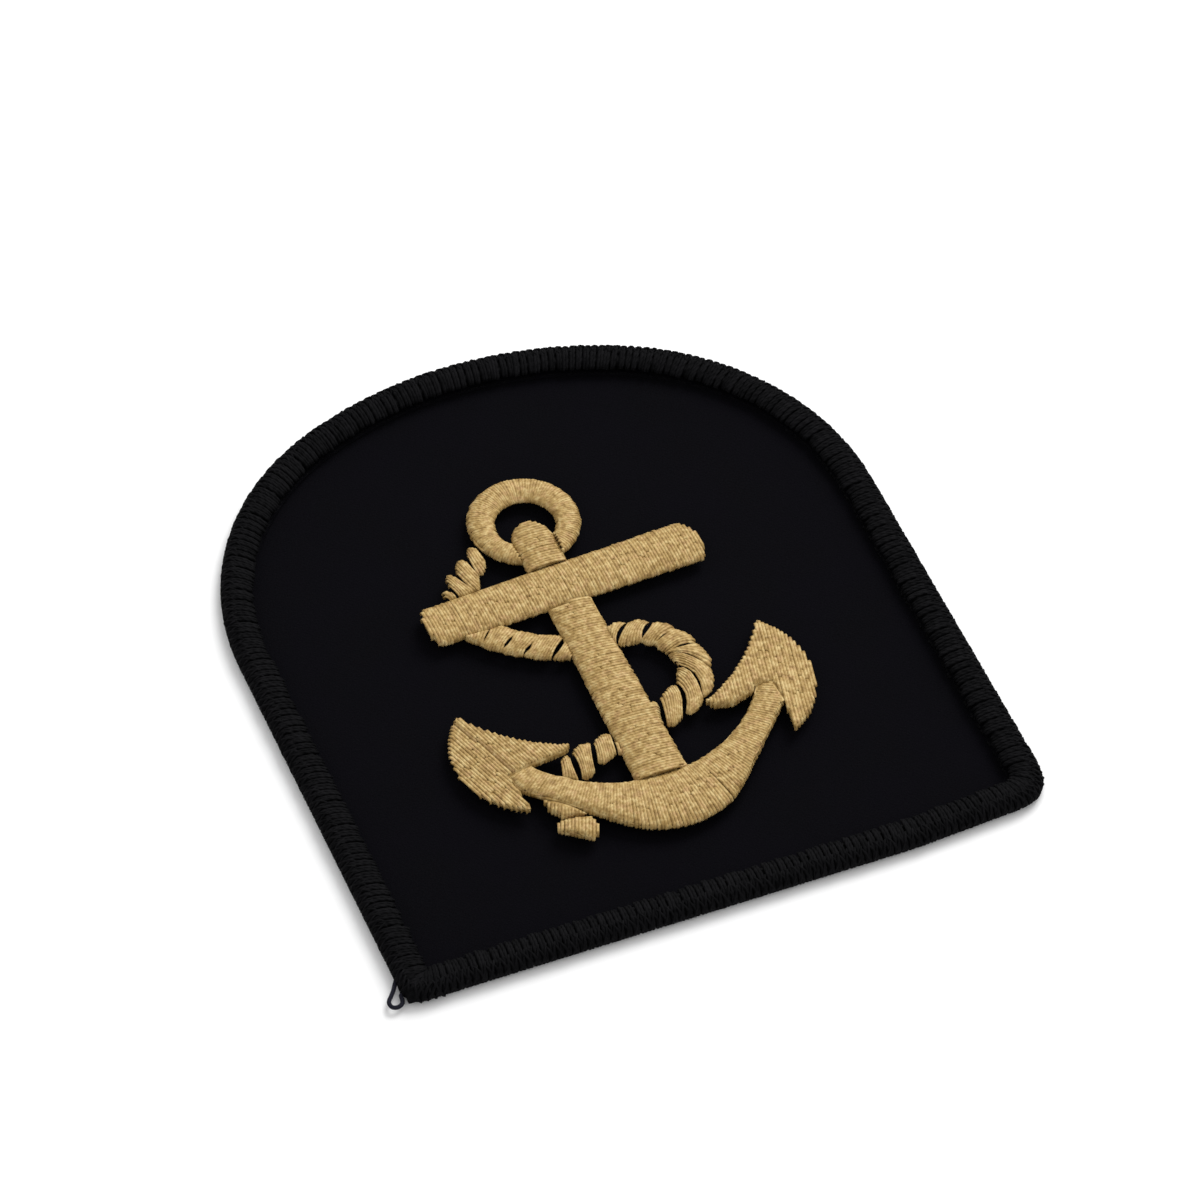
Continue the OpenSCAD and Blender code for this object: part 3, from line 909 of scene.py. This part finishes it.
class Rope:
    """A run of rope in plan: its course and width, and the slits between its strands."""

    def __init__(self, course, slits, scallop):
        line = curve_through(course)
        self.middle = line[:, :2]
        self.half = line[:, 2] / 2
        ahead = np.gradient(self.middle, axis=0)
        ahead /= np.linalg.norm(ahead, axis=1, keepdims=True)
        self.side = np.stack([-ahead[:, 1], ahead[:, 0]], 1)
        self.scallop = scallop
        self.slits = [self.marks(*slit) for slit in slits]

    def marks(self, x, y, direction, width, *numbers):
        """Where a slit's line meets the left and the right edge, and the slit's own numbers.

        The threads beside a slit cover part of it, so it is made wider than it looks."""
        point = np.array([x, y])
        across = pointing(math.radians(direction + 90))
        near = int(np.argmin(np.linalg.norm(self.middle - point, axis=1)))
        first = max(near - SLIT_REACH, 0)
        found = []
        for side in (1, -1):
            edge = self.middle + side * self.half[:, None] * self.side
            off = np.abs((edge[first:near + SLIT_REACH] - point) @ across)
            found.append(first + int(np.argmin(off)))
        gape = (width + SLIT_COVERED) / GAPE_SHARE if width else 0.0
        return [*found, gape, *numbers]

    def spot(self, at, share):
        """The place at a step along the rope and a share of the way over it, from its left edge."""
        steps = np.arange(len(self.middle))
        middle = read_at(at, steps, self.middle)
        side = read_at(at, steps, self.side)
        half = np.interp(at, steps, self.half)
        return middle + side * (half * (1 - 2 * share))[..., None]

    def lie(self, k, part, share):
        """The place on strand k, at part of the way from its one slit to its other."""
        a, b = self.slits[k], self.slits[k + 1]
        left = a[0] + (b[0] - a[0]) * part
        right = a[1] + (b[1] - a[1]) * part
        gape = 0.0
        for slit, near, sign in ((a, 1 - part, 1), (b, part, -1)):
            open_share = np.clip((share - slit[3]) / (slit[4] - slit[3]), 0, 1)
            gape = gape + sign * slit[2] / 2 * np.sin(math.pi * open_share) * near ** 2
        return self.spot(left + (right - left) * share + gape / ROPE_STEP, share)

    def threads_of(self, k):
        """How many threads fit side by side in strand k."""
        a, b = self.slits[k], self.slits[k + 1]
        room = (abs(b[0] - a[0]) + abs(b[1] - a[1])) / 2 * ROPE_STEP
        low, high = self.lie(k, 0.5, np.array([0.4, 0.6]))
        middle = (a[0] + a[1] + b[0] + b[1]) / 4
        before, after = self.spot(np.array([middle - 1.0, middle + 1.0]), 0.5)
        lean, ahead = high - low, after - before
        sine = abs(np.cross(lean, ahead)) / np.linalg.norm(lean) / np.linalg.norm(ahead)
        return max(3, round(room * sine / ROPE_PITCH))

    def stitch(self, stitches, k, neighbours):
        """The threads of strand k, which end where a neighbour begins."""
        starts, ends_at = self.slits[k][5:7]
        count = self.threads_of(k)
        # A thread in each place, and one under each pair of them, which fills the gap between
        lays = [((j + 0.5) / count, 0.0) for j in range(count)]
        lays += [(j / count, ROPE_UNDER) for j in range(1, count)]
        for part, sunk in lays:
            # The threads beside a slit are shorter, by the scallop, and lie lower
            pull = abs(2 * part - 1) ** 2.2
            plump = math.sin(math.pi * part) ** 0.6
            shorter = sunk * UNDER_SHORTER
            low = starts + self.scallop[0] * pull + hand.uniform(*ROPE_ENDS) + shorter
            high = ends_at - self.scallop[1] * pull + hand.uniform(*ROPE_ENDS) - shorter
            low, high = clear_of(neighbours, self.lie(k, part, np.array([low, high])), low, high)
            if high - low < SHORTEST_SHARE:
                continue
            ends = self.lie(k, part, np.array([low, high]))
            long = np.linalg.norm(ends[1] - ends[0])

            def top(distance):
                share = np.clip(distance / long, 0.0, 1.0)
                arch = np.maximum(np.sin(math.pi * share), 0) ** 0.5
                return PAD_FOOT + ROPE_RISE * arch * (SLIT_SHARE + CREST_SHARE * plump) - sunk

            distance, height = stitch_line(top, 0.0, long, True, True)
            share = low + distance / long * (high - low)
            flat = self.lie(k, part, share)
            room = self.lie(k, min(part + 0.5 / count, 1), share) \
                - self.lie(k, max(part - 0.5 / count, 0), share)
            sideways = np.append(left_of((ends[1] - ends[0]) / long), 0.0)
            wide = np.clip(np.abs(room @ sideways[:2]) * ROOM_SHARE, *ROPE_HALF_WIDE) * END_TAPER
            stitches.add(np.column_stack([flat, height]), sideways, wide)


def clear_of(neighbours, ends, low, high):
    """The stretch of a thread between its two ends that no neighbour covers, as shares."""
    long = np.linalg.norm(ends[1] - ends[0])
    way = (ends[1] - ends[0]) / long
    free = [(0.0, long)]
    for solid in neighbours:
        for a, b, _ in solid.spans(ends[0], way):
            a, b = a - NEIGHBOUR_GAP, b + NEIGHBOUR_GAP
            free = [part for c, d in free for part in ((c, min(d, a)), (max(c, b), d))
                    if part[1] > part[0]]
    if not free:
        return low, low
    a, b = max(free, key=lambda part: part[1] - part[0])
    return low + a / long * (high - low), low + b / long * (high - low)


def wind_rope(solids, surfaces, shank, over_shank, gold):
    """The rope's runs, strand by strand, with the nodes that they stand for.

    The stitches over the shank are laid with the shank's, and come in finished."""
    upper = Rope(arc("upper", -0.2, 1.2, 6), UPPER_SLITS, scallop=(0.12, 0.26))
    left = Rope(arc("left", -0.2, 1.2, 6), LEFT_SLITS, scallop=(0.04, 0.04))
    round_course = np.vstack([arc("loop", -0.2, 1, 7), arc("lower", 0, 1.1, 6)])
    round_it = Rope(round_course, ROUND_SLITS, scallop=(0.12, 0.14))
    ring, stock, arms = solids["anchor_ring"], solids["anchor_stock"], solids["anchor_arms"]
    left_fluke, right_fluke = solids["left_fluke"], solids["right_fluke"]
    runs = [
        # node, rope, strands, what they end at. The shank's rows cover the round rope's strand 8.
        ("rope_upper", upper, range(0, 4), (ring, stock)),
        ("rope_left", left, range(0, 5), (stock, shank)),
        ("rope_right", round_it, range(0, 8), (shank, right_fluke)),
        ("rope_crossing", round_it, range(9, 10), (shank,)),
        ("rope_lower", round_it, range(10, 13), (left_fluke, arms)),
    ]
    for node, rope, strands, neighbours in runs:
        stitches = over_shank if node == "rope_crossing" else Stitches()
        for k in strands:
            rope.stitch(stitches, k, neighbours)
        meshes = [stitches.mesh("stitches")]
        if node == "rope_crossing":
            beside = [surfaces[name] for name in SHANK_NODES]
            meshes.append(underlay(crossing_hull(), draw_in=0.1, sink=0.16, beside=beside))
        finish_piece("stitched_" + node, meshes, gold, node)


# Overlocked border

BORDER_WIDE = 3.8
# How many rays read the border's outline, and how many points on each side ease each of them
BORDER_RAYS = 1440
EASED = 7
# A turn in radians that keeps the rays off the corners of the solids
RAY_TURN = 0.0007
# How far to each side the outline's direction is taken
LOOK = 2.0
WRAP_SECTION = np.array([
    # inwards from the edge, height
    [3.86, 1.12],
    [3.58, 1.38],
    [3.00, 1.70],
    [2.10, 1.94],
    [1.25, 1.92],
    [0.58, 1.60],
    [0.24, 1.10],
    [0.28, 0.52],
    [0.80, 0.17],
    [2.10, 0.15],
    [3.50, 0.15],
    [3.80, 0.26],
])
# How many of its points lie on the border's face
ON_FACE = 6
WRAP = Thread(rings=len(WRAP_SECTION), sides=6)
WRAP_TAPER = np.array([0.75, 0.95] + [1] * (WRAP.rings - 4) + [0.95, 0.8])
LINK_SECTION = np.array([
    # inwards from the edge, height
    [1.75, 1.84],
    [1.48, 2.00],
    [1.12, 2.00],
    [0.76, 1.88],
    [0.46, 1.62],
    [0.28, 1.26],
    [0.26, 0.88],
    [0.36, 0.55],
])
LINK = Thread(rings=len(LINK_SECTION), sides=6)
# From one pair of wraps to the next, and how far each of the two lies from the pair's middle
RIB = 0.9
PAIR_SHIFT = 0.055
# Half the width of a wrap and of a link, and half the height of both
WRAP_HALF_WIDE = 0.245
LINK_HALF_WIDE = 0.25
BORDER_HALF_HIGH = 0.17


def edge_of(node, rays):
    """The outline of a node in plan, by rays from the middle of the badge."""
    solid = Solid(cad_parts[node].data)
    points = []
    for angle in np.arange(rays) * math.tau / rays + RAY_TURN:
        way = pointing(angle)
        points.append(way * solid.cut(np.zeros(2), way)[:, :, 0].max())
    return np.array(points)


def spaced(points, count):
    """A closed line at even spacing, with its direction and the outward one at each point."""
    closed = np.vstack([points, points[:1]])
    long = lengths_to(closed)
    even = read_at(np.linspace(0, long[-1], count, endpoint=False), long, closed)
    near = max(1, round(LOOK * count / long[-1]))
    ahead = np.roll(even, -near, 0) - np.roll(even, near, 0)
    for _ in range(3):
        ahead = (np.roll(ahead, near // 2 + 1, 0) + ahead + np.roll(ahead, -(near // 2 + 1), 0)) / 3
    ahead /= np.linalg.norm(ahead, axis=1, keepdims=True)
    return even, ahead, np.stack([ahead[:, 1], -ahead[:, 0]], 1)


def rounded(outline, reach):
    """A closed outline with its corners eased, each point the mean of those within reach."""
    return sum(np.roll(outline, k, 0) for k in range(-reach, reach + 1)) / (2 * reach + 1)


def border(dark):
    """Wraps of thread in pairs round the cloth's edge, with the looped chain along its outside."""
    outline = rounded(edge_of("merrowed_border", BORDER_RAYS), EASED)
    around = np.linalg.norm(outline - np.roll(outline, 1, 0), axis=1).sum()
    ribs = round(around / RIB)
    even, ahead, out = spaced(outline, ribs * 2)
    count = len(even)
    pair = np.where(np.arange(count) % 2, -PAIR_SHIFT, PAIR_SHIFT)
    # The two wraps of a pair are as loose as each other
    loose = np.repeat(hand.uniform(-1, 1, ribs), 2)
    inner = 0.10 * loose + hand.uniform(-0.1, 0.1, count)
    slant = 0.30 + 0.16 * loose + hand.uniform(-0.06, 0.06, count)
    from_edge, height = WRAP_SECTION.T
    share = from_edge / BORDER_WIDE
    inward = from_edge + inner[:, None] * share ** 3
    lean = slant[:, None] * share * np.where(np.arange(WRAP.rings) < ON_FACE, 1, -1)
    shift = pair[:, None] + lean
    paths = np.zeros((count, WRAP.rings, 3))
    paths[:, :, :2] = (even[:, None] - out[:, None] * inward[..., None]
                       + ahead[:, None] * shift[..., None])
    lift = hand.uniform(-0.03, 0.03, count)[:, None] * np.clip(height - 0.6, 0, 1)
    paths[:, :, 2] = height + lift
    sides = np.concatenate([ahead, np.zeros((count, 1))], 1)
    wide = WRAP_HALF_WIDE * hand.uniform(0.9, 1.08, count)[:, None] * WRAP_TAPER
    high = np.full((count, WRAP.rings), BORDER_HALF_HIGH)
    tones = np.clip(0.5 + 0.35 * loose + hand.uniform(-0.3, 0.3, count), 0, 1)
    wraps = WRAP.lay("wraps", paths, sides, wide, high, tones)
    meshes = [wraps, chain(outline, ribs, slant=1.3, start=0.0),
              chain(outline, ribs, slant=-1.1, start=0.35),
              underlay(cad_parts["merrowed_border"].data, draw_in=0.5, sink=0.45)]
    finish_piece("overlocked_border", meshes, dark, "merrowed_border")


def chain(outline, ribs, slant, start):
    """One thread of the looped chain along the border's outside: slanted links over its edge."""
    even, ahead, out = spaced(outline, ribs)
    share = np.linspace(-0.5, 0.5, LINK.rings)
    more_slant, shift, more_in, rise = hand.uniform(-0.12, 0.12, (4, ribs, 1))
    from_edge, height = LINK_SECTION.T
    run = share * (slant + more_slant) + start * RIB + shift
    inward = from_edge * (1 + more_in) + 0.4 * rise * (from_edge < 0.5)
    paths = np.zeros((ribs, LINK.rings, 3))
    paths[:, :, :2] = (even[:, None] - out[:, None] * inward[..., None]
                       + ahead[:, None] * run[..., None])
    paths[:, :, 2] = height + 0.3 * rise
    sides = np.concatenate([ahead + out * slant * 0.5, np.zeros((ribs, 1))], 1)
    sides /= np.linalg.norm(sides, axis=1, keepdims=True)
    wide = LINK_HALF_WIDE * hand.uniform(0.88, 1.12, (ribs, 1)) * np.ones(LINK.rings)
    high = np.full((ribs, LINK.rings), BORDER_HALF_HIGH)
    return LINK.lay("links", paths, sides, wide, high, hand.random(ribs))


# The middle of the tail's loop from its node's low corner, and its route from there, right and up
TAIL_MIDDLE = 0.9
TAIL_ROUTE = np.array([
    [1.4, 3.4], [0.75, 2.4], [0.2, 1.5], [-0.3, 0.85], [-0.75, 0.3], [-0.85, -0.2],
    [-0.65, -0.65], [-0.1, -0.8], [0.45, -0.55], [0.7, 0.0], [0.75, 0.6], [1.4, 1.1],
])
TAIL_HEIGHT = 0.55
TAIL_ARCH = 0.12
TAIL_HALF_WIDE = 0.25


def tail(dark):
    """The end of the border's thread, left as a small loop at the border's corner."""
    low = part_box("thread_tail")[0]
    line = curve_through(np.array([low[0], low[1]]) / MM + TAIL_MIDDLE + TAIL_ROUTE)
    loop = Thread(rings=31, sides=8)
    flat = read_at(np.linspace(0, len(line) - 1, loop.rings), np.arange(len(line)), line)
    height = TAIL_HEIGHT + TAIL_ARCH * np.sin(np.linspace(0, math.pi, loop.rings))
    path = np.column_stack([flat, height])
    thick = np.full((1, loop.rings), TAIL_HALF_WIDE)
    upward = np.array([[0.0, 0.0, 1.0]])
    mesh = loop.lay("tail", path[None], upward, thick, thick, np.array([TAIL_TONE]))
    finish_piece("border_thread_tail", [mesh], dark, "thread_tail")


# Ground cloth

# How many rays read the cloth's outline
CLOTH_RAYS = 288
# The border's slot that takes the cloth's edge, and the cloth's back, just off the floor
SLOT_HEIGHT = 0.34
SLOT_DEPTH = 2.9
BACK_HEIGHT = 0.03


def ray_numbers(mesh, count):
    """For each point of a circle, the number of its ray, counted from the right."""
    turns = [math.atan2(v.co.y, v.co.x) / math.tau for v in mesh.vertices]
    return [round(turn * count) % count for turn in turns]


def ground(wool):
    """The cloth, laid flat: one layer that runs into the border's slot all round."""
    edge = edge_of("ground_cloth", CLOTH_RAYS)
    bpy.ops.object.select_all(action="DESELECT")
    bpy.ops.mesh.primitive_circle_add(vertices=CLOTH_RAYS, radius=0.04, location=(0, 0, 0))
    model = bpy.context.object
    for vertex, ray in zip(model.data.vertices, ray_numbers(model.data, CLOTH_RAYS)):
        vertex.co = (*(edge[ray] * MM), CLOTH_TOP * MM)
    bpy.ops.object.mode_set(mode="EDIT")
    bpy.ops.mesh.select_mode(type="EDGE")
    bpy.ops.mesh.select_all(action="SELECT")
    slot = (0, 0, (SLOT_HEIGHT - CLOTH_TOP) * MM)
    bpy.ops.mesh.extrude_edges_move(TRANSFORM_OT_translate={"value": slot})
    bpy.ops.mesh.extrude_edges_move(TRANSFORM_OT_translate={"value": (0, 0, 0)})
    size = 1 - SLOT_DEPTH / np.linalg.norm(edge, axis=1).mean()
    bpy.ops.transform.resize(value=(size, size, 1), center_override=(0, 0, 0))
    drop = (0, 0, (BACK_HEIGHT - SLOT_HEIGHT) * MM)
    bpy.ops.mesh.extrude_edges_move(TRANSFORM_OT_translate={"value": drop})
    bpy.ops.mesh.fill_grid(span=CLOTH_RAYS // 4)
    select_edges(model.data, lambda e: e.is_boundary)
    bpy.ops.mesh.fill_grid(span=CLOTH_RAYS // 4)
    face = (CLOTH_TOP - 0.01) * MM
    bm = bmesh.from_edit_mesh(model.data)
    for v in bm.verts:
        if v.co.z > face and not any(e.calc_face_angle(0) > 1 for e in v.link_edges):
            v.co.z += swell(v.co.x / MM, v.co.y / MM) * MM
    bmesh.update_edit_mesh(model.data)
    bpy.ops.mesh.select_all(action="SELECT")
    bpy.ops.mesh.normals_make_consistent(inside=False)
    bpy.ops.object.mode_set(mode="OBJECT")
    mesh = model.data
    bpy.data.objects.remove(model)
    cloth = finish_piece("ground_cloth_sheet", [mesh], wool, "ground_cloth")
    only(cloth)
    bpy.ops.object.shade_smooth_by_angle(angle=math.radians(40))


def swell(x, y):
    """The cloth's faint waves, which the stitching pulls into it."""
    return (0.035 * np.sin(x * 0.21 + y * 0.13 + 0.4) + 0.03 * np.sin(y * 0.27 - x * 0.1 + 1.9)
            + 0.02 * np.sin(x * 0.5 + 0.3) * np.sin(y * 0.43))


photo_camera()
studio()
gold = gold_thread()
dark = border_thread()
wool = wool_cloth()
ground(wool)
border(dark)
tail(dark)
embroider(gold)
